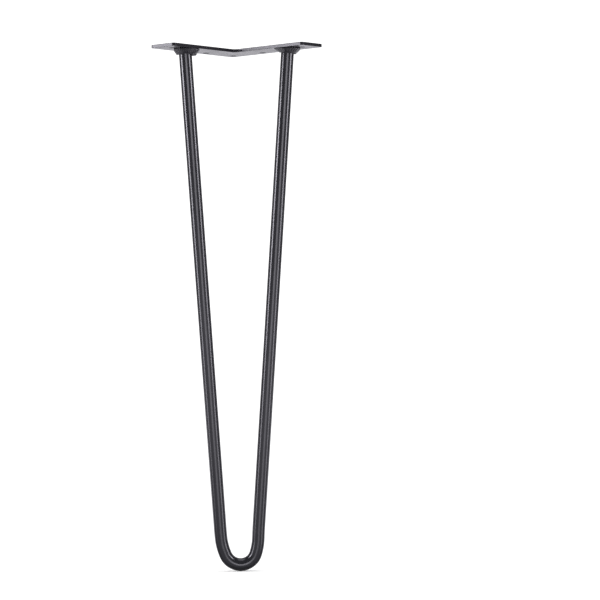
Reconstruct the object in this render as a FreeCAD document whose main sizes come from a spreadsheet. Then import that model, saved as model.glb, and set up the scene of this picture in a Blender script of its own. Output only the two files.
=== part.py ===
"""Hairpin table leg: a bent steel bar welded under an angled screw plate.

One round bar is bent into a narrow U.  Its two ends are cut on a slant so that
they sit flush under a flat L-shaped plate, and a weld runs round each end.  The
bar leans outward, so that it meets the floor under the plate's outer corner.

The frame: the origin is the centre of the corner screw hole on the plate's top
face, +Z points up to the table top, and +Y points outward along the line that
halves the plate's corner.  X runs from one bar end to the other.
"""

import FreeCAD, Part
import math
import os

import Sketcher

NODES_FOLDER = "parts"

# Driving dimensions in millimetres, with the lean and the wrap in degrees.  The
# bend's radii are those of the bar's centreline, and its wrap is how far the
# tight part turns to each side of the lowest point.  An edge distance is measured
# square to the plate's long outer edge, and the end holes' inset from the arm's
# end.
SIZES = [
    ("leg_height", 406.0),
    ("lean_angle", 8.5),
    ("bar_diameter", 10.0),
    ("bar_spacing", 79.0),
    ("bar_edge_distance", 14.5),
    ("bend_radius", 12.5),
    ("bend_wrap", 69.0),
    ("shoulder_radius", 45.0),
    ("plate_thickness", 2.5),
    ("arm_length", 93.5),
    ("arm_width", 24.5),
    ("outer_corner_radius", 3.5),
    ("inner_corner_radius", 3.0),
    ("arm_end_radius", 2.0),
    ("edge_rounding", 0.3),
    ("screw_hole_diameter", 5.0),
    ("corner_hole_inset", 10.0),
    ("arm_hole_spacing", 44.0),
    ("arm_hole_edge_distance", 6.4),
    ("end_hole_inset", 10.0),
    ("end_hole_edge_distance", 13.3),
    ("weld_toe_width", 4.6),
    ("weld_lip_width", 2.6),
    ("weld_height", 5.2),
    ("weld_lip_rounding", 0.8),
]

# Two lengths this close count as equal, in millimetres
NEAR = 0.01

X_AXIS = FreeCAD.Vector(1, 0, 0)
Z_AXIS = FreeCAD.Vector(0, 0, 1)

# How a sketch numbers its own origin point and axis lines
ORIGIN_POINT = (-1, 1)
X_LINE = -1
Y_LINE = -2
START, END, CENTRE = 1, 2, 3


def write_sheet(doc):
    """Keep every driving dimension in one spreadsheet, under its own alias."""
    sheet = doc.addObject("Spreadsheet::Sheet", "Sizes")
    for row, (alias, value) in enumerate(SIZES, start=1):
        sheet.set(f"A{row}", alias)
        sheet.set(f"B{row}", str(value))
        sheet.setAlias(f"B{row}", alias)
    doc.recompute()
    return sheet


class Hairpin:
    """Places on the bar's centreline, worked out from the sheet.

    The pairs of coordinates lie in the plane of the bend: x across the leg, and
    y up along the lean, from the point halfway between the bar ends.
    """

    def __init__(self, sheet):
        self.radius = sheet.bar_diameter / 2
        self.bend = sheet.bend_radius
        self.shoulder = sheet.shoulder_radius
        self.wrap = math.radians(sheet.bend_wrap)
        self.half = sheet.bar_spacing / 2
        drop = sheet.leg_height - sheet.plate_thickness - self.radius
        self.depth = drop / math.cos(math.radians(sheet.lean_angle))

        # The tight part of the bend, and the slack shoulder that carries on from it
        across, up = math.sin(self.wrap), math.cos(self.wrap)
        self.centre = (0, self.bend - self.depth)
        self.spring = (self.bend * across, self.centre[1] - self.bend * up)
        self.shoulder_centre = (
            self.spring[0] - self.shoulder * across,
            self.spring[1] + self.shoulder * up,
        )

        # The legs spread by this angle where they leave the shoulders on a tangent
        side = self.half - self.shoulder_centre[0]
        reach = math.hypot(side, self.shoulder_centre[1])
        turn = math.acos(self.shoulder / reach)
        self.splay = turn - math.atan2(-self.shoulder_centre[1], side)
        self.tangent = (
            self.shoulder_centre[0] + self.shoulder * math.cos(self.splay),
            self.shoulder_centre[1] - self.shoulder * math.sin(self.splay),
        )
        excess = self.radius
        self.end = (self.half + excess * math.tan(self.splay), excess)

        # An arm leaves the corner at 45 degrees, so a step out is a step back
        setback = self.half + sheet.bar_edge_distance * math.sqrt(2) - sheet.corner_hole_inset
        self.middle = FreeCAD.Vector(0, -setback, -sheet.plate_thickness)
        self.lean = FreeCAD.Rotation(X_AXIS, sheet.lean_angle)

    def leg_top(self, side):
        """Where a leg's axis meets the underside of the plate."""
        return self.middle + FreeCAD.Vector(side * self.half, 0, 0)

    def leg_axis(self, side):
        """Direction of a leg, upward, in the part's frame."""
        flat = FreeCAD.Vector(side * math.sin(self.splay), 0, math.cos(self.splay))
        return self.lean.multVec(flat)


def origin_plane(body, role):
    """One of the body's own origin planes or axes."""
    return next(item for item in body.Origin.OriginFeatures if item.Role == role)


def new_sketch(body, name, role):
    """An empty sketch on one of the body's origin planes."""
    sketch = body.newObject("Sketcher::SketchObject", name)
    sketch.AttachmentSupport = [(origin_plane(body, role), "")]
    sketch.MapMode = "FlatFace"
    return sketch


def bind(sketch, name, kind, places, value, formula):
    """Add a named dimension to a sketch and drive it by a formula."""
    index = sketch.addConstraint(Sketcher.Constraint(kind, *places, value))
    sketch.renameConstraint(index, name)
    sketch.setExpression(f"Constraints.{name}", formula)


def add_outline(sketch, points):
    """Closed outline of straight edges, each joined to the next."""
    corners = [FreeCAD.Vector(x, y, 0) for x, y in points]
    followers = corners[1:] + corners[:1]
    for start, end in zip(corners, followers):
        sketch.addGeometry(Part.LineSegment(start, end))
    count = len(corners)
    for edge in range(count):
        sketch.addConstraint(
            Sketcher.Constraint("Coincident", edge, END, (edge + 1) % count, START)
        )


def edges_where(feature, test):
    """Names of the feature's edges that pass a test."""
    edges = enumerate(feature.Shape.Edges, start=1)
    return [f"Edge{number}" for number, edge in edges if test(edge)]


def cut_through(doc, body, sketch, name):
    """Pocket a sketch both ways through the body, and make sure that it cut."""
    before = body.Shape.Volume
    pocket = body.newObject("PartDesign::Pocket", name)
    pocket.Profile = (sketch, [""])
    pocket.Type = "ThroughAll"
    pocket.SideType = "Symmetric"
    doc.recompute()
    if body.Shape.Volume > before - NEAR:
        raise RuntimeError(f"{name} cuts nothing")
    return pocket


def trim_at_plate(doc, body, tilt, tilt_formula, reach, reach_formula):
    """Cut off all that stands above the plate's underside.

    The body's own Z leans away from upright by the tilt, about its own X, so the
    underside shows in its YZ plane as one line through the origin.  The wedge
    above that line goes, out to the reach to each side and as far up.
    """
    fall = reach * math.tan(math.radians(tilt))
    wedge = new_sketch(body, f"{body.Name}TrimSketch", "YZ_Plane")
    add_outline(wedge, [(-reach, fall), (reach, -fall), (reach, reach), (-reach, reach)])
    slope, right, top, left = range(4)
    wedge.addConstraint(Sketcher.Constraint("Symmetric", slope, START, slope, END, *ORIGIN_POINT))
    wedge.addConstraint(Sketcher.Constraint("Vertical", right))
    wedge.addConstraint(Sketcher.Constraint("Horizontal", top))
    wedge.addConstraint(Sketcher.Constraint("Vertical", left))
    bind(wedge, "tilt", "Angle", (slope,), -math.radians(tilt), f"-({tilt_formula})")
    ends = (slope, START, slope, END)
    bind(wedge, "width", "DistanceX", ends, 2 * reach, f"2 * ({reach_formula})")
    bind(wedge, "height", "DistanceY", (*ORIGIN_POINT, right, END), reach, reach_formula)
    doc.recompute()
    return cut_through(doc, body, wedge, f"{body.Name}Trim")


def make_plate(doc, sheet):
    """The screw plate: an L of flat steel, with five plain holes.

    The corner is square and the arms leave it at 45 degrees either side of -Y.
    """
    body = doc.addObject("PartDesign::Body", "MountingPlate")
    body.Label = "mounting_plate"

    # Corners of the right half, from the outer corner round to the inner one
    diagonal = math.sqrt(0.5)
    inset = sheet.corner_hole_inset
    long, wide = sheet.arm_length * diagonal, sheet.arm_width * diagonal
    outer = (0, inset)
    far_end = (long, inset - long)
    near_end = (long - wide, inset - long - wide)
    inner = (0, inset - 2 * wide)

    outline = new_sketch(body, "PlateOutline", "XY_Plane")
    mirrored = [(-x, y) for x, y in (near_end, far_end)]
    add_outline(outline, [outer, far_end, near_end, inner, *mirrored])
    long_edge, end_edge, inside_edge, left_inside, left_end, left_long = range(6)
    outline.addConstraint(Sketcher.Constraint("PointOnObject", long_edge, START, Y_LINE))
    outline.addConstraint(Sketcher.Constraint("PointOnObject", inside_edge, END, Y_LINE))
    outline.addConstraint(
        Sketcher.Constraint("Symmetric", long_edge, END, left_end, END, Y_LINE)
    )
    outline.addConstraint(
        Sketcher.Constraint("Symmetric", end_edge, END, left_inside, END, Y_LINE)
    )
    outline.addConstraint(Sketcher.Constraint("Perpendicular", left_long, long_edge))
    outline.addConstraint(Sketcher.Constraint("Perpendicular", long_edge, end_edge))
    outline.addConstraint(Sketcher.Constraint("Perpendicular", end_edge, inside_edge))
    bind(outline, "arm_length", "Distance", (long_edge,), sheet.arm_length, "Sizes.arm_length")
    bind(outline, "arm_width", "Distance", (end_edge,), sheet.arm_width, "Sizes.arm_width")
    bind(
        outline,
        "inset",
        "DistanceY",
        (*ORIGIN_POINT, long_edge, START),
        inset,
        "Sizes.corner_hole_inset",
    )

    blank = body.newObject("PartDesign::Pad", "PlateBlank")
    blank.Profile = (outline, [""])
    blank.Reversed = True
    blank.setExpression("Length", "Sizes.plate_thickness")
    doc.recompute()

    # Corner radii of the cut blank, on its upright edges
    def upright_at(places):
        def test(edge):
            start, end = (vertex.Point for vertex in edge.Vertexes)
            upright = abs(start.x - end.x) + abs(start.y - end.y) < NEAR
            return upright and any(
                math.hypot(abs(start.x) - x, start.y - y) < NEAR for x, y in places
            )

        return test

    corners = [
        ("OuterCorner", [outer], "Sizes.outer_corner_radius"),
        ("InnerCorner", [inner], "Sizes.inner_corner_radius"),
        ("ArmEnds", [far_end, near_end], "Sizes.arm_end_radius"),
    ]
    base = blank
    for name, places, formula in corners:
        corner = body.newObject("PartDesign::Fillet", name)
        corner.Base = (base, edges_where(base, upright_at(places)))
        corner.setExpression("Radius", formula)
        doc.recompute()
        base = corner

    # The rim of both faces is rubbed smooth before painting
    def level(edge):
        heights = [vertex.Z for vertex in edge.Vertexes]
        return max(heights) - min(heights) < NEAR

    rim = body.newObject("PartDesign::Fillet", "RoundedRim")
    rim.Base = (base, edges_where(base, level))
    rim.setExpression("Radius", "Sizes.edge_rounding")
    doc.recompute()

    holes = new_sketch(body, "ScrewHoles", "XY_Plane")
    radius = sheet.screw_hole_diameter / 2
    holes.addGeometry(Part.Circle(FreeCAD.Vector(0, 0, 0), Z_AXIS, radius))
    holes.addConstraint(Sketcher.Constraint("Coincident", 0, CENTRE, *ORIGIN_POINT))
    bind(holes, "diameter", "Diameter", (0,), 2 * radius, "Sizes.screw_hole_diameter")
    reach = sheet.arm_length - sheet.end_hole_inset
    pairs = [
        (
            "arm_hole",
            sheet.arm_hole_spacing,
            sheet.arm_hole_spacing / 2 + sheet.arm_hole_edge_distance * math.sqrt(2) - inset,
            "Sizes.arm_hole_spacing",
            "Sizes.arm_hole_spacing / 2 + Sizes.arm_hole_edge_distance * sqrt(2)"
            " - Sizes.corner_hole_inset",
        ),
        (
            "end_hole",
            (reach - sheet.end_hole_edge_distance) * math.sqrt(2),
            (reach + sheet.end_hole_edge_distance) / math.sqrt(2) - inset,
            "(Sizes.arm_length - Sizes.end_hole_inset - Sizes.end_hole_edge_distance)"
            " * sqrt(2)",
            "(Sizes.arm_length - Sizes.end_hole_inset + Sizes.end_hole_edge_distance)"
            " / sqrt(2) - Sizes.corner_hole_inset",
        ),
    ]
    for name, spacing, setback, spacing_formula, setback_formula in pairs:
        left, right = (
            holes.addGeometry(
                Part.Circle(FreeCAD.Vector(side * spacing / 2, -setback, 0), Z_AXIS, radius)
            )
            for side in (-1, 1)
        )
        for hole in (left, right):
            holes.addConstraint(Sketcher.Constraint("Equal", 0, hole))
        holes.addConstraint(
            Sketcher.Constraint("Symmetric", left, CENTRE, right, CENTRE, Y_LINE)
        )
        across = (left, CENTRE, right, CENTRE)
        bind(holes, f"{name}_spacing", "DistanceX", across, spacing, spacing_formula)
        back = (left, CENTRE, *ORIGIN_POINT)
        bind(holes, f"{name}_setback", "DistanceY", back, setback, setback_formula)
    doc.recompute()
    cut_through(doc, body, holes, "ScrewHolePocket")
    return body


def make_rod(doc, sheet, hairpin):
    """The bar: half of the hairpin swept along its path, mirrored and trimmed.

    The path starts at the lowest point of the bend, where it runs level, so the
    round section lies in an origin plane.  It follows the tight part of the bend
    and the shoulder, which the bar springs open to beyond the bending pin, and
    then the straight leg to just past the plate.
    """
    body = doc.addObject("PartDesign::Body", "HairpinRod")
    body.Label = "hairpin_rod"

    path = new_sketch(body, "RodPath", "XZ_Plane")
    tight = Part.Circle(FreeCAD.Vector(*hairpin.centre, 0), Z_AXIS, hairpin.bend)
    slack = Part.Circle(
        FreeCAD.Vector(*hairpin.shoulder_centre, 0), Z_AXIS, hairpin.shoulder
    )
    lowest, spring = -math.pi / 2, hairpin.wrap - math.pi / 2
    bend = path.addGeometry(Part.ArcOfCircle(tight, lowest, spring))
    shoulder = path.addGeometry(Part.ArcOfCircle(slack, spring, -hairpin.splay))
    leg = path.addGeometry(
        Part.LineSegment(
            FreeCAD.Vector(*hairpin.tangent, 0),
            FreeCAD.Vector(*hairpin.end, 0),
        )
    )
    at_plate = path.addGeometry(Part.Point(FreeCAD.Vector(hairpin.half, 0, 0)), True)
    path.addConstraint(Sketcher.Constraint("Tangent", bend, END, shoulder, START))
    path.addConstraint(Sketcher.Constraint("Tangent", shoulder, END, leg, START))
    path.addConstraint(Sketcher.Constraint("PointOnObject", bend, CENTRE, Y_LINE))
    path.addConstraint(Sketcher.Constraint("PointOnObject", bend, START, Y_LINE))
    path.addConstraint(Sketcher.Constraint("PointOnObject", at_plate, START, X_LINE))
    path.addConstraint(Sketcher.Constraint("PointOnObject", at_plate, START, leg))
    bind(path, "bend", "Radius", (bend,), hairpin.bend, "Sizes.bend_radius")
    bind(path, "shoulder", "Radius", (shoulder,), hairpin.shoulder, "Sizes.shoulder_radius")
    bind(
        path,
        "spring",
        "DistanceX",
        (*ORIGIN_POINT, bend, END),
        hairpin.spring[0],
        "Sizes.bend_radius * sin(Sizes.bend_wrap * 1deg)",
    )
    bind(
        path,
        "half_spacing",
        "DistanceX",
        (*ORIGIN_POINT, at_plate, START),
        hairpin.half,
        "Sizes.bar_spacing / 2",
    )
    drop = "(Sizes.leg_height - Sizes.plate_thickness - Sizes.bar_diameter / 2)"
    bind(
        path,
        "depth",
        "DistanceY",
        (bend, START, *ORIGIN_POINT),
        hairpin.depth,
        f"{drop} / cos(Sizes.lean_angle * 1deg)",
    )
    bind(
        path,
        "excess",
        "DistanceY",
        (*ORIGIN_POINT, leg, END),
        hairpin.end[1],
        "Sizes.bar_diameter / 2",
    )
    splay = path.addConstraint(Sketcher.Constraint("Angle", leg, Y_LINE, hairpin.splay))
    path.setDriving(splay, False)
    path.renameConstraint(splay, "splay")

    section = new_sketch(body, "RodSection", "YZ_Plane")
    middle = FreeCAD.Vector(0, -hairpin.depth, 0)
    section.addGeometry(Part.Circle(middle, Z_AXIS, hairpin.radius))
    section.addConstraint(Sketcher.Constraint("PointOnObject", 0, CENTRE, Y_LINE))
    bind(section, "diameter", "Diameter", (0,), 2 * hairpin.radius, "Sizes.bar_diameter")
    bind(
        section,
        "depth",
        "DistanceY",
        (0, CENTRE, *ORIGIN_POINT),
        hairpin.depth,
        "RodPath.Constraints.depth",
    )
    doc.recompute()

    half = body.newObject("PartDesign::AdditivePipe", "HalfHairpin")
    half.Profile = (section, [""])
    half.Spine = (path, ["Edge1", "Edge2", "Edge3"])
    doc.recompute()

    whole = body.newObject("PartDesign::Mirrored", "WholeHairpin")
    whole.Originals = [half]
    whole.MirrorPlane = (origin_plane(body, "YZ_Plane"), [""])
    body.Tip = whole
    doc.recompute()

    trim_at_plate(
        doc,
        body,
        sheet.lean_angle,
        "Sizes.lean_angle * 1deg",
        sheet.bar_diameter,
        "Sizes.bar_diameter",
    )
    body.Placement = FreeCAD.Placement(hairpin.middle, hairpin.lean)
    return body


def make_weld(doc, sheet, hairpin, side, hand):
    """The weld round one bar end: a tapered collar that fills the corner.

    It is turned about the leg's own axis, so its bore is the leg's surface, and
    it is cut by the plate's underside, so it meets both of them face to face.
    """
    body = doc.addObject("PartDesign::Body", f"Weld{hand.title()}")
    body.Label = f"weld_bead_{hand}"

    bore = hairpin.radius
    height = sheet.weld_height
    toe = bore + sheet.weld_toe_width
    lip = bore + sheet.weld_lip_width
    top = toe + (toe - lip) * toe / height

    # Half section: lip, flank through the toe, top above the plate, and bore
    section = new_sketch(body, f"{body.Name}Section", "XZ_Plane")
    add_outline(section, [(bore, -height), (lip, -height), (top, toe), (bore, toe)])
    lip_edge, flank, top_edge, bore_edge = range(4)
    toe_point = section.addGeometry(Part.Point(FreeCAD.Vector(toe, 0, 0)), True)
    section.addConstraint(Sketcher.Constraint("Horizontal", lip_edge))
    section.addConstraint(Sketcher.Constraint("Horizontal", top_edge))
    section.addConstraint(Sketcher.Constraint("Vertical", bore_edge))
    section.addConstraint(Sketcher.Constraint("PointOnObject", toe_point, START, X_LINE))
    section.addConstraint(Sketcher.Constraint("PointOnObject", toe_point, START, flank))
    bore_formula = "Sizes.bar_diameter / 2"
    toe_formula = f"{bore_formula} + Sizes.weld_toe_width"
    lip_formula = f"{bore_formula} + Sizes.weld_lip_width"
    across = [
        ("bore", (*ORIGIN_POINT, lip_edge, START), bore, bore_formula),
        ("lip", (*ORIGIN_POINT, lip_edge, END), lip, lip_formula),
        ("toe", (*ORIGIN_POINT, toe_point, START), toe, toe_formula),
    ]
    for name, places, value, formula in across:
        bind(section, name, "DistanceX", places, value, formula)
    upright = [
        ("height", (lip_edge, START, *ORIGIN_POINT), height, "Sizes.weld_height"),
        ("excess", (*ORIGIN_POINT, top_edge, START), toe, toe_formula),
    ]
    for name, places, value, formula in upright:
        bind(section, name, "DistanceY", places, value, formula)
    doc.recompute()

    collar = body.newObject("PartDesign::Revolution", f"{body.Name}Collar")
    collar.Profile = (section, [""])
    collar.ReferenceAxis = (section, ["V_Axis"])
    collar.Angle = 360
    doc.recompute()

    # The bead's blunt lower lip
    def on_lip(edge):
        return all(
            abs(math.hypot(vertex.X, vertex.Y) - lip) < NEAR and vertex.Z < 0
            for vertex in edge.Vertexes
        )

    blunt = body.newObject("PartDesign::Fillet", f"{body.Name}Lip")
    blunt.Base = (collar, edges_where(collar, on_lip))
    blunt.setExpression("Radius", "Sizes.weld_lip_rounding")
    doc.recompute()

    # Own Z runs along the leg, and own X lies level, in the plate's plane
    axis = hairpin.leg_axis(side)
    level = Z_AXIS.cross(axis).normalize()
    tilt = math.degrees(axis.getAngle(Z_AXIS))
    tilt_formula = "acos(cos(Sizes.lean_angle * 1deg) * cos(RodPath.Constraints.splay))"
    trim_at_plate(doc, body, tilt, tilt_formula, 2 * toe, f"2 * ({toe_formula})")
    turn = FreeCAD.Rotation(level, axis.cross(level), axis, "ZXY")
    body.Placement = FreeCAD.Placement(hairpin.leg_top(side), turn)
    return body


def check(doc, nodes):
    """Stop if any feature failed or any sub-part isn't one sound solid."""
    for item in doc.Objects:
        if "Invalid" in item.State or "Error" in item.State:
            raise RuntimeError(f"{item.Name} failed: {item.State}")
    for node in nodes:
        shape = node.Shape
        if shape.isNull() or not shape.isValid() or len(shape.Solids) != 1:
            raise RuntimeError(f"{node.Label} isn't one sound solid")


def main():
    """Build the leg and write one file for each sub-part."""
    doc = FreeCAD.newDocument("HairpinTableLeg")
    sheet = write_sheet(doc)
    hairpin = Hairpin(sheet)
    nodes = [make_plate(doc, sheet), make_rod(doc, sheet, hairpin)]
    for side, hand in ((-1, "left"), (1, "right")):
        nodes.append(make_weld(doc, sheet, hairpin, side, hand))
    doc.recompute()
    check(doc, nodes)

    os.makedirs(NODES_FOLDER, exist_ok=True)
    for node in nodes:
        node.Shape.exportStep(f"{NODES_FOLDER}/{node.Label}.step")
        box = node.Shape.optimalBoundingBox()
        print(
            f"{node.Label}: {node.Shape.Volume:.1f} mm3,"
            f" x {box.XMin:.2f} to {box.XMax:.2f},"
            f" y {box.YMin:.2f} to {box.YMax:.2f},"
            f" z {box.ZMin:.2f} to {box.ZMax:.2f}"
        )


main()
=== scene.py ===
"""Looks for the hairpin table leg: a bent steel bar welded under a screw plate.

Everything is in metres in the CAD model's frame: the origin is the centre of the
corner screw hole on the plate's top face, +Z is up, and +Y points outward.
"""

import math

import bpy
import numpy as np
from mathutils import Matrix


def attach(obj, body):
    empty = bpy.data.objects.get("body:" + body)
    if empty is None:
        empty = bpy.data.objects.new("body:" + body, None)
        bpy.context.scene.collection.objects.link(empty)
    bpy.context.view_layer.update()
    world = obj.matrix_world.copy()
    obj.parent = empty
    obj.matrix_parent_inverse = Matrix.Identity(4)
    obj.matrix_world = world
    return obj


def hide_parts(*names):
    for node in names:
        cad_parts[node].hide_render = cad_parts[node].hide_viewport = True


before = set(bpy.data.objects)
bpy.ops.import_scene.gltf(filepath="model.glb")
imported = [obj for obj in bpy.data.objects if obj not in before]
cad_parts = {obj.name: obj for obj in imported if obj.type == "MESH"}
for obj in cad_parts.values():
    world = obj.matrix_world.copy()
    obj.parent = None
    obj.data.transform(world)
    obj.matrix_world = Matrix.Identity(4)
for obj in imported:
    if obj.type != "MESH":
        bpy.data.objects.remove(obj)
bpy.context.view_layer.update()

# Screw plate.  An L of hot rolled flat steel with five punched holes, tumbled so
# that its rims are blunt, then powder coated satin black with the rest of the leg.
# The CAD plate has its true form, so it stays and is only given its finish.
MM = 0.001


def linear(hex_colour):
    """An sRGB hex colour as linear RGBA, by the standard's own curve."""
    srgb = np.array([int(hex_colour[i : i + 2], 16) for i in (1, 3, 5)]) / 255
    low, high = srgb / 12.92, ((srgb + 0.055) / 1.055) ** 2.4
    return (*np.where(srgb <= 0.04045, low, high).tolist(), 1.0)


def add(tree, kind, sockets=(), **settings):
    """A new node with its settings, and each socket set or linked."""
    node = tree.nodes.new(kind)
    for name, value in settings.items():
        setattr(node, name, value)
    for name, value in dict(sockets).items():
        if isinstance(value, bpy.types.NodeSocket):
            tree.links.new(value, node.inputs[name])
        else:
            node.inputs[name].default_value = value
    return node


# Satin black powder coat on blasted steel: baked polyester, which flows out to a
# faint orange peel.  It mirrors the lights in soft edged bands over deep black.
COAT_COLOURS = ("#17161c", "#1c1b22")
COAT_ROUGH = (0.17, 0.23)
COAT_IOR = 1.5
PEEL_WAVE = 1.8 * MM
PEEL_DEPTH = 0.0008 * MM
PEEL_DETAIL = 1.0
CLOUD_WAVE = 14 * MM
CLOUD_DETAIL = 3.0
CLOUD_ROUGHNESS = 0.55
# Nearly all values of the clouds' noise lie between these two
CLOUD_RANGE = (0.3, 0.7)


def powder_coat(name, colours, roughness, grain, grain_depth):
    """The coat's material: clouds of colour and gloss, and an orange peel in its skin.

    Its grain is what shows through from the steel below: a function that adds the
    pattern's nodes and returns their height socket.
    """
    material = bpy.data.materials.new(name)
    material.use_nodes = True
    tree = material.node_tree
    tree.nodes.clear()
    place = add(tree, "ShaderNodeTexCoord").outputs["Object"]
    cloud = add(
        tree,
        "ShaderNodeTexNoise",
        {
            "Vector": place,
            "Scale": 1 / CLOUD_WAVE,
            "Detail": CLOUD_DETAIL,
            "Roughness": CLOUD_ROUGHNESS,
        },
    )
    colour = add(
        tree,
        "ShaderNodeMix",
        {"Factor": cloud.outputs["Fac"], "A": linear(colours[0]), "B": linear(colours[1])},
        data_type="RGBA",
    )
    rough = add(
        tree,
        "ShaderNodeMapRange",
        {
            "Value": cloud.outputs["Fac"],
            "From Min": CLOUD_RANGE[0],
            "From Max": CLOUD_RANGE[1],
            "To Min": roughness[0],
            "To Max": roughness[1],
        },
    )
    peel = add(
        tree,
        "ShaderNodeTexNoise",
        {"Vector": place, "Scale": 1 / PEEL_WAVE, "Detail": PEEL_DETAIL},
    )
    waves = add(
        tree, "ShaderNodeBump", {"Height": peel.outputs["Fac"], "Distance": PEEL_DEPTH}
    )
    steel = add(
        tree,
        "ShaderNodeBump",
        {"Height": grain(tree), "Distance": grain_depth, "Normal": waves.outputs["Normal"]},
    )
    coat = add(
        tree,
        "ShaderNodeBsdfPrincipled",
        {
            "Base Color": colour.outputs["Result"],
            "Roughness": rough.outputs["Result"],
            "IOR": COAT_IOR,
            "Normal": steel.outputs["Normal"],
        },
    )
    add(tree, "ShaderNodeOutputMaterial", {"Surface": coat.outputs["BSDF"]})
    return material


# Plate stock keeps a little mill waviness under the coat
MILL_WAVE = 9 * MM
MILL_DEPTH = 0.004 * MM
MILL_DETAIL = 2.0


def mill_grain(tree):
    """The height of the plate's waviness: noise with one wave to each wave length."""
    place = add(tree, "ShaderNodeTexCoord").outputs["Object"]
    return add(
        tree,
        "ShaderNodeTexNoise",
        {"Vector": place, "Scale": 1 / MILL_WAVE, "Detail": MILL_DETAIL},
    ).outputs["Fac"]


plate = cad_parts["mounting_plate"]
plate_coat = powder_coat(
    "powder_coat_on_plate", COAT_COLOURS, COAT_ROUGH, mill_grain, MILL_DEPTH
)
for slot in plate.material_slots:
    slot.material = plate_coat

# Hairpin bar.  One 10 mm round bar, bent cold about a pin into a narrow leaning U that
# springs open beyond the pin into slacker shoulders.  Its slant cut ends butt against
# the plate.  Bending left its legs bowed a hair apart, and the bend to one side.
LEG_HEIGHT = 406 * MM
LEAN = math.radians(8.5)
BAR_RADIUS = 5 * MM
BAR_SPACING = 79 * MM
BAR_SETBACK = 50.006 * MM
PLATE_THICKNESS = 2.5 * MM
BEND_RADIUS = 12.5 * MM
BEND_WRAP = math.radians(69)
SHOULDER_RADIUS = 45 * MM
# The foot ends a hair above the floor, so that the two never touch in one plane
FOOT_CLEARANCE = 0.02 * MM
LEG_BOW = 0.12 * MM
BEND_DRIFT = 0.85 * MM
# The share of the height, from the plate down, at which the drift sets in
DRIFT_START = 0.93
BAR_SIDES = 96
BEND_STEP = math.radians(2)
SHOULDER_POINTS = 12
LEG_STEP = 3 * MM
LAST_STEP = 1.5 * MM


def hairpin_half():
    """The right half of the bar's centreline, from its lowest point to the plate.

    It is worked out in the plane of the bend, x across and y up the lean from the
    plate's underside, by turning a heading at one over the radius of each part: the
    tight bend for its wrap, then the shoulder until the heading is the leg's.
    Returns the places, the headings and the lengths along the bar, and the splay of
    each leg.
    """
    depth = (LEG_HEIGHT - FOOT_CLEARANCE - PLATE_THICKNESS - BAR_RADIUS) / math.cos(LEAN)
    centre = BEND_RADIUS - depth
    spring = (
        BEND_RADIUS * math.sin(BEND_WRAP),
        centre - BEND_RADIUS * math.cos(BEND_WRAP),
    )
    shoulder = (
        spring[0] - SHOULDER_RADIUS * math.sin(BEND_WRAP),
        spring[1] + SHOULDER_RADIUS * math.cos(BEND_WRAP),
    )
    side = BAR_SPACING / 2 - shoulder[0]
    reach = math.hypot(side, shoulder[1])
    splay = math.acos(SHOULDER_RADIUS / reach) - math.atan2(-shoulder[1], side)
    leg_heading = math.pi / 2 - splay

    tight = np.arange(0, BEND_WRAP, BEND_STEP)
    slack = np.linspace(BEND_WRAP, leg_heading, SHOULDER_POINTS)
    x = np.append(BEND_RADIUS * np.sin(tight), shoulder[0] + SHOULDER_RADIUS * np.sin(slack))
    y = np.append(
        centre - BEND_RADIUS * np.cos(tight), shoulder[1] - SHOULDER_RADIUS * np.cos(slack)
    )
    rise = -y[-1]
    steps = np.append(np.arange(LEG_STEP, rise - LAST_STEP, LEG_STEP), rise)
    x = np.append(x, x[-1] + steps * math.tan(splay))
    y = np.append(y, y[-1] + steps)
    heading = np.concatenate([tight, slack, np.full(len(steps), leg_heading)])
    length = np.append(0, np.cumsum(np.hypot(np.diff(x), np.diff(y))))
    return x, y, heading, length, splay


def leaned(x, y, out):
    """Places in the part's frame from across, up the lean, and square to the bend."""
    sin, cos = math.sin(LEAN), math.cos(LEAN)
    return np.stack(
        [x, -BAR_SETBACK - y * sin + out * cos, -PLATE_THICKNESS + y * cos + out * sin],
        axis=-1,
    )


def closed_skin(name, rings, capped):
    """A mesh through a grid of points, wrapped round its second axis.

    Its first axis is wrapped too, or else each end gets a fan to its middle.
    """
    rows, sides = rings.shape[:2]
    points = rings.reshape(-1, 3)
    i = np.arange(rows - 1 if capped else rows)[:, None]
    j = np.arange(sides)[None, :]
    after, beside = (i + 1) % rows, (j + 1) % sides
    quads = np.stack(
        [i * sides + j, i * sides + beside, after * sides + beside, after * sides + j], axis=-1
    ).reshape(-1, 4)
    faces = quads.tolist()
    if capped:
        points = np.vstack([points, rings[0].mean(0), rings[-1].mean(0)])
        first, last = rows * sides, rows * sides + 1
        end = (rows - 1) * sides
        around, onward = np.arange(sides), (np.arange(sides) + 1) % sides
        start_fan = np.stack([onward, around, np.full(sides, first)], axis=-1)
        end_fan = np.stack([end + around, end + onward, np.full(sides, last)], axis=-1)
        faces += start_fan.tolist() + end_fan.tolist()
    mesh = bpy.data.meshes.new(name)
    mesh.from_pydata(points.tolist(), [], faces)
    mesh.validate()
    piece = bpy.data.objects.new(name, mesh)
    bpy.context.scene.collection.objects.link(piece)
    mesh.polygons.foreach_set("use_smooth", np.ones(len(mesh.polygons), dtype=bool))
    return piece


half_x, half_y, half_heading, half_length, splay = hairpin_half()
path_x = np.append(-half_x[:0:-1], half_x)
path_y = np.append(half_y[:0:-1], half_y)
path_heading = np.append(-half_heading[:0:-1], half_heading)
path_length = np.append(-half_length[:0:-1], half_length)

# The bow is half a sine wave from plate to foot; the drift eases in over the last
# part of the height, as three squares less two cubes of the share
fall = path_y / path_y.min()
ease = np.clip((fall - DRIFT_START) / (1 - DRIFT_START), 0, 1)
path_x += LEG_BOW * np.sign(path_x) * np.sin(math.pi * fall)
path_x += BEND_DRIFT * (3 * ease**2 - 2 * ease**3)

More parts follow.
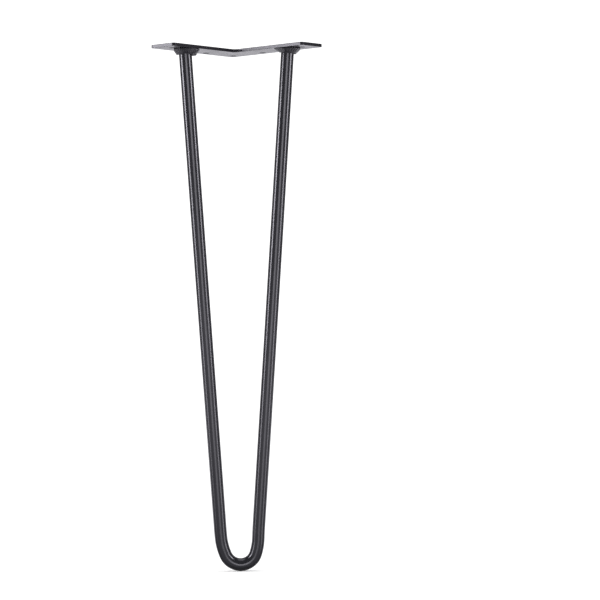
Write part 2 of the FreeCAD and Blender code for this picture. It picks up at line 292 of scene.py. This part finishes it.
turn = np.linspace(0, 2 * math.pi, BAR_SIDES, endpoint=False)
inward = BAR_RADIUS * np.cos(turn)[None, :]
outward = BAR_RADIUS * np.sin(turn)[None, :]
ring_x = path_x[:, None] - np.sin(path_heading)[:, None] * inward
ring_y = path_y[:, None] + np.cos(path_heading)[:, None] * inward
rings = leaned(ring_x, ring_y, -outward)

# Each end ring slides along its leg's axis until it lies on the plate's underside
for row, side in ((0, -1), (-1, 1)):
    axis = leaned(side * math.sin(splay), math.cos(splay), 0.0) - leaned(0.0, 0.0, 0.0)
    rise = (-PLATE_THICKNESS - rings[row, :, 2]) / axis[2]
    rings[row] += rise[:, None] * axis
bar = closed_skin("hairpin_bar", rings, True)

# Each point keeps its place in the straight bar, so that the grain follows the bend.
# The last two points are the middles of the two ends.
stock = np.empty((len(bar.data.vertices), 3), dtype=np.float32)
stock[:-2, 0] = np.broadcast_to(inward, ring_x.shape).ravel()
stock[:-2, 1] = np.broadcast_to(outward, ring_x.shape).ravel()
stock[:-2, 2] = np.broadcast_to(path_length[:, None], ring_x.shape).ravel()
stock[-2:] = [[0, 0, path_length[0]], [0, 0, path_length[-1]]]
bar.data.attributes.new("straight_bar", "FLOAT_VECTOR", "POINT")
bar.data.attributes["straight_bar"].data.foreach_set("vector", stock.ravel())

# Hot rolled round bar has long shallow roll lines, which the coat only half hides
ROLL_LINE_WIDTH = 2.4 * MM
ROLL_LINE_LENGTH = 90 * MM
ROLL_LINE_DEPTH = 0.003 * MM
ROLL_LINE_DETAIL = 2.0


def roll_lines(tree):
    """The height of the roll lines: noise drawn out along the straight bar."""
    place = add(tree, "ShaderNodeAttribute", attribute_name="straight_bar").outputs["Vector"]
    drawn = add(
        tree,
        "ShaderNodeMapping",
        {
            "Vector": place,
            "Scale": (1 / ROLL_LINE_WIDTH, 1 / ROLL_LINE_WIDTH, 1 / ROLL_LINE_LENGTH),
        },
    )
    return add(
        tree,
        "ShaderNodeTexNoise",
        {"Vector": drawn.outputs["Vector"], "Scale": 1.0, "Detail": ROLL_LINE_DETAIL},
    ).outputs["Fac"]


bar.data.materials.append(
    powder_coat("powder_coat_on_bar", COAT_COLOURS, COAT_ROUGH, roll_lines, ROLL_LINE_DEPTH)
)
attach(bar, "root")
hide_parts("hairpin_rod")

# Welds.  A bead of mild steel laid by hand round each bar end, building up a
# tapered collar whose blunt lip stands out at the sides and runs thin at front and
# back.  Its toe rolls in under the plate, as on a bead that didn't quite wet it.

# For each hand: radius of the toe, radius of the lip, and height of the lip below
# the plate, at its left and its right in mm; then the seed of its lumps
WELD_SIZES = {
    "left": ((8.6, 10.9), (7.2, 8.8), (4.1, 5.8), 6),
    "right": ((10.0, 9.6), (6.8, 6.9), (3.6, 4.3), 8),
}
THIN_LIP = 5.25 * MM
THIN_HEIGHT = 3.2 * MM
# The seat stops this far from the bar's centre, just short of the arm's rounded edge
EDGE_REACH = 9.6 * MM
# A spoke that nears that edge by less than this share of its length never gets there
LEAST_APPROACH = 0.1
# How far the toe rolls in, and the share of the flank at which its roll starts
TOE_ROLL = 0.5 * MM
ROLL_START = 0.86
# The share of the lip's width that its rounding takes up
LIP_ROUND = 0.4
BEAD_BULGE = 0.35 * MM
RIPPLE_PITCH = 1.7 * MM
RIPPLE_HEIGHT = 0.1 * MM
# How far a ripple's two ends trail behind its middle, in radians of its wave
RIPPLE_LAG = 4.4
# The lumps' numbers of waves round the bar; their sizes are drawn between the two
# shares given, and fall with this power of the number of waves
LUMP_WAVES = np.arange(2, 8)
LUMP_SHARES = (0.4, 1.0)
LUMP_FALL = 0.7
LUMP_HEIGHT = 0.4 * MM
BEAD_SIDES = 256
QUARTER_POINTS = 9
FLANK_POINTS = 34


def weld_bead(name, side, toes, lips, heights, seed):
    """A collar round one leg, as a closed section carried round the leg's axis.

    The section goes from the bar round the lip, up the flank to the toe, and in a
    quarter round to its seat on the plate.  Toe, lip and height go from their left to
    their right value as the cosine round the bar, and the lip thins to front and back
    as the sine squared.  The flank swells by a low arch, plus ripples that trail in a
    crescent behind the arc, plus slow lumps, a few sines round the bar with seeded
    phases.
    """
    random = np.random.default_rng(seed)
    axis = leaned(side * math.sin(splay), math.cos(splay), 0.0) - leaned(0.0, 0.0, 0.0)
    across = np.cross([0.0, 1.0, 0.0], axis)
    across /= np.linalg.norm(across)
    back = np.cross(axis, across)
    top = leaned(side * BAR_SPACING / 2, 0.0, 0.0)

    round_bar = np.linspace(0, 2 * math.pi, BEAD_SIDES, endpoint=False)
    spoke = np.cos(round_bar)[:, None] * across + np.sin(round_bar)[:, None] * back
    phases = random.uniform(0, 2 * math.pi, len(LUMP_WAVES))
    sizes = random.uniform(*LUMP_SHARES, len(LUMP_WAVES)) / LUMP_WAVES**LUMP_FALL
    lumps = (sizes * np.sin(round_bar[:, None] * LUMP_WAVES + phases)).sum(1)
    lumps *= LUMP_HEIGHT / np.abs(lumps).max()

    blend = ((1 + np.cos(round_bar)) / 2)[:, None]
    thin = (np.sin(round_bar) ** 2)[:, None]
    toe, lip, foot = (
        MM * (left + (right - left) * blend) for left, right in (toes, lips, heights)
    )
    lip += (THIN_LIP - lip) * thin
    foot = -(foot + (THIN_HEIGHT - foot) * thin)

    # Each spoke meets the plate's underside at a height of its own, because the leg
    # stands on a slant, and the bead's seat there stops at the arm's inner edge
    slope = -spoke[:, 2:] / axis[2]
    to_edge = (spoke + slope * axis) @ [-side / math.sqrt(2), -1 / math.sqrt(2), 0.0]
    farthest = EDGE_REACH / np.maximum(to_edge, LEAST_APPROACH)
    seat = np.minimum(toe - TOE_ROLL, farthest[:, None])

    # The lip's quarter round, then the flank, and the toe that rolls in to the seat
    quarter = np.linspace(0, math.pi / 2, QUARTER_POINTS)
    lip_round = LIP_ROUND * (lip - BAR_RADIUS)
    lip_radius = lip - lip_round * (1 - np.sin(quarter[:-1]))
    lip_height = foot + lip_round * (1 - np.cos(quarter[:-1]))
    rising = np.linspace(0, 1, FLANK_POINTS)[:-1]
    share = np.append(ROLL_START * rising, ROLL_START + (1 - ROLL_START) * np.sin(quarter))
    tucked = np.append(np.zeros(len(rising)), 1 - np.cos(quarter))
    flank_radius = lip + (seat + TOE_ROLL - lip) * np.minimum(share / ROLL_START, 1)

    arch = np.sin(math.pi * share)
    ripples = round(2 * math.pi * lips[1] * MM / RIPPLE_PITCH)
    crescent = round_bar[:, None] * ripples - RIPPLE_LAG * (2 * share - 1) ** 2
    flank_radius += BEAD_BULGE * arch - TOE_ROLL * tucked
    flank_radius += (lumps[:, None] + RIPPLE_HEIGHT * np.cos(crescent)) * np.sqrt(arch)
    flank_low = foot + lip_round
    flank_height = flank_low + (slope * seat - flank_low) * share
    flank_height = np.minimum(flank_height, slope * flank_radius)
    bore = np.full((BEAD_SIDES, 1), BAR_RADIUS)
    radius = np.concatenate([bore, lip_radius, flank_radius, bore], axis=1)
    height = np.concatenate([foot, lip_height, flank_height, slope * BAR_RADIUS], axis=1)
    grid = top + radius[..., None] * spoke[:, None, :] + height[..., None] * axis
    # Taken clockwise about the leg, so that the skin's faces look outward
    return closed_skin(name, grid[::-1], False)


# Over a weld the coat lies on fine spatter, which breaks its mirror into a mottle.
# The real grains are under a millimetre, and are drawn coarser here so that they show.
WELD_COLOURS = ("#18171d", "#242329")
WELD_ROUGH = (0.17, 0.27)
SPATTER_WAVE = 2.2 * MM
SPATTER_DEPTH = 0.05 * MM
SPATTER_DETAIL = 3.0


def spatter(tree):
    """The height of the spatter: noise with one wave to each grain."""
    place = add(tree, "ShaderNodeTexCoord").outputs["Object"]
    return add(
        tree,
        "ShaderNodeTexNoise",
        {"Vector": place, "Scale": 1 / SPATTER_WAVE, "Detail": SPATTER_DETAIL},
    ).outputs["Fac"]


weld_coat = powder_coat(
    "powder_coat_on_weld", WELD_COLOURS, WELD_ROUGH, spatter, SPATTER_DEPTH
)
for hand, side in (("left", -1), ("right", 1)):
    bead = weld_bead(f"weld_{hand}", side, *WELD_SIZES[hand])
    bead.data.materials.append(weld_coat)
    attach(bead, "root")
    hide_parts(f"weld_bead_{hand}")

# Floor.  A plain pale sheet that the foot stands on.  It takes the soft shadow, and
# the coat mirrors the softboxes rather than the sheet.
FLOOR_SIZE = 60.0
FLOOR_COLOUR = "#fafafa"

edge = FLOOR_SIZE / 2
corners = [(-edge, -edge), (edge, -edge), (edge, edge), (-edge, edge)]
floor_mesh = bpy.data.meshes.new("floor")
floor_mesh.from_pydata([(x, y, -LEG_HEIGHT) for x, y in corners], [], [(0, 1, 2, 3)])
floor = bpy.data.objects.new("floor", floor_mesh)
bpy.context.scene.collection.objects.link(floor)
sheet = bpy.data.materials.new("pale_matt_sheet")
sheet.use_nodes = True
matt = sheet.node_tree.nodes["Principled BSDF"]
matt.inputs["Base Color"].default_value = linear(FLOOR_COLOUR)
matt.inputs["Roughness"].default_value = 1.0
matt.inputs["Specular IOR Level"].default_value = 0.0
floor_mesh.materials.append(sheet)
floor.visible_glossy = False
floor.visible_shadow = False

# Studio.  A white room, which is dim in the coat's mirror.  The softboxes at left,
# right and front make the bar's light bands, those at floor height stand in for the
# sheet, and those behind light the plate's underside and the leg's far side.

# Each has its place, size and aim, the radiance at its foot and at its head, and
# the power of the share of its height that leads from the one to the other
SOFTBOXES = [
    ("left", (-0.60, -0.15, -0.32), (0.16, 0.48), (0.0, -0.02, -0.32), 0.8, 19.0, 1.15),
    ("left_high", (-0.60, -0.12, 0.01), (0.17, 0.18), (0.0, -0.02, 0.01), 18.0, 8.5, 1),
    ("left_back", (-0.52, 0.72, -0.15), (0.30, 0.90), (0.0, -0.02, -0.15), 0.9, 0.9, 1),
    ("right", (0.58, -0.28, -0.31), (0.17, 0.70), (0.0, -0.02, -0.31), 2.4, 16.0, 1.4),
    ("right_back", (0.52, 0.72, -0.15), (0.30, 0.90), (0.0, -0.02, -0.15), 0.9, 0.9, 1),
    ("front", (0.17, -3.02, -0.875), (1.55, 1.25), (0.0, -0.02, -0.875), 2.2, 7.2, 2.2),
    ("sheet", (0.00, -0.45, -0.41), (1.60, 0.90), (0.0, -0.45, 0.00), 0.8, 0.3, 2),
    ("sheet_back", (0.00, 0.75, -0.41), (2.40, 1.30), (0.0, 0.75, 0.00), 0.7, 0.7, 1),
    ("back", (0.25, 3.50, -0.44), (1.80, 0.60), (0.0, 0.0, -0.01), 0.77, 0.77, 1),
    ("above", (0.00, 0.20, 1.60), (1.60, 1.60), (0.0, 0.0, 0.00), 1.6, 1.6, 1),
]
GLOW_COLOUR = "#f7f5ff"
ROOM_COLOUR = "#ffffff"
ROOM_LIGHT = 1.3
ROOM_IN_MIRROR = 0.22
# A box whose facing has more than this share of up or down in it is squared to Y
STEEP = 0.99

world = bpy.data.worlds.new("room")
bpy.context.scene.world = world
world.use_nodes = True
room = world.node_tree
room.nodes.clear()
mirrored = add(room, "ShaderNodeLightPath").outputs["Is Glossy Ray"]
strength = add(
    room,
    "ShaderNodeMapRange",
    {"Value": mirrored, "To Min": ROOM_LIGHT, "To Max": ROOM_IN_MIRROR},
)
walls = add(
    room,
    "ShaderNodeBackground",
    {"Color": linear(ROOM_COLOUR), "Strength": strength.outputs["Result"]},
)
add(room, "ShaderNodeOutputWorld", {"Surface": walls.outputs["Background"]})


def softbox(name, centre, size, aim, low, high, power):
    """A rectangular light whose radiance goes from low at its foot to high at its head.

    An area light's radiance is its power over pi times its area.  The power holds
    the brighter end, which tells the renderer how often to sample this light.
    """
    bright = max(low, high)
    light = bpy.data.lights.new(name, "AREA")
    light.shape = "RECTANGLE"
    light.size, light.size_y = size
    light.energy = math.pi * size[0] * size[1] * bright
    light.use_nodes = True
    tree = light.node_tree
    tree.nodes.clear()
    place = add(tree, "ShaderNodeNewGeometry").outputs["Parametric"]
    up = add(tree, "ShaderNodeSeparateXYZ", {"Vector": place}).outputs["Y"]
    rise = add(tree, "ShaderNodeMath", operation="POWER")
    tree.links.new(up, rise.inputs[0])
    rise.inputs[1].default_value = power
    ramp = add(
        tree,
        "ShaderNodeMapRange",
        {"Value": rise.outputs["Value"], "To Min": low / bright, "To Max": high / bright},
    )
    glow = add(
        tree,
        "ShaderNodeEmission",
        {"Color": linear(GLOW_COLOUR), "Strength": ramp.outputs["Result"]},
    )
    add(tree, "ShaderNodeOutputLight", {"Surface": glow.outputs["Emission"]})

    lamp = bpy.data.objects.new(name, light)
    bpy.context.scene.collection.objects.link(lamp)
    backward = np.array(centre) - np.array(aim)
    backward /= np.linalg.norm(backward)
    square_to = [0.0, 0.0, 1.0] if abs(backward[2]) < STEEP else [0.0, 1.0, 0.0]
    level = np.cross(square_to, backward)
    level /= np.linalg.norm(level)
    turned = Matrix(np.stack([level, np.cross(backward, level), backward], axis=1).tolist())
    lamp.matrix_world = Matrix.Translation(centre) @ turned.to_4x4()
    lamp.visible_camera = False
    lamp.visible_diffuse = False


for name, *settings in SOFTBOXES:
    softbox(f"softbox_{name}", *settings)

# Camera.  It stands a little to the left, at a third of the leg's height, from where
# the leg is seen in the reference view.  Its lens and sensor are in millimetres.
CAMERA_PLACE = (-0.122049, -2.375631, -0.271157)
CAMERA_TURN = math.radians(4.13479)
CAMERA_TILT = math.radians(1.84147)
CAMERA_ROLL = math.radians(-0.85069)
CAMERA_LENS = 182.486
CAMERA_SENSOR = 36.0

camera_data = bpy.data.cameras.new("camera")
camera_data.lens = CAMERA_LENS
camera_data.sensor_width = CAMERA_SENSOR
camera = bpy.data.objects.new("camera", camera_data)
bpy.context.scene.collection.objects.link(camera)
camera.matrix_world = (
    Matrix.Translation(CAMERA_PLACE)
    @ Matrix.Rotation(-CAMERA_TURN, 4, "Z")
    @ Matrix.Rotation(math.pi / 2 + CAMERA_TILT, 4, "X")
    @ Matrix.Rotation(CAMERA_ROLL, 4, "Z")
)
bpy.context.scene.camera = camera
bpy.context.scene.view_settings.view_transform = "Standard"
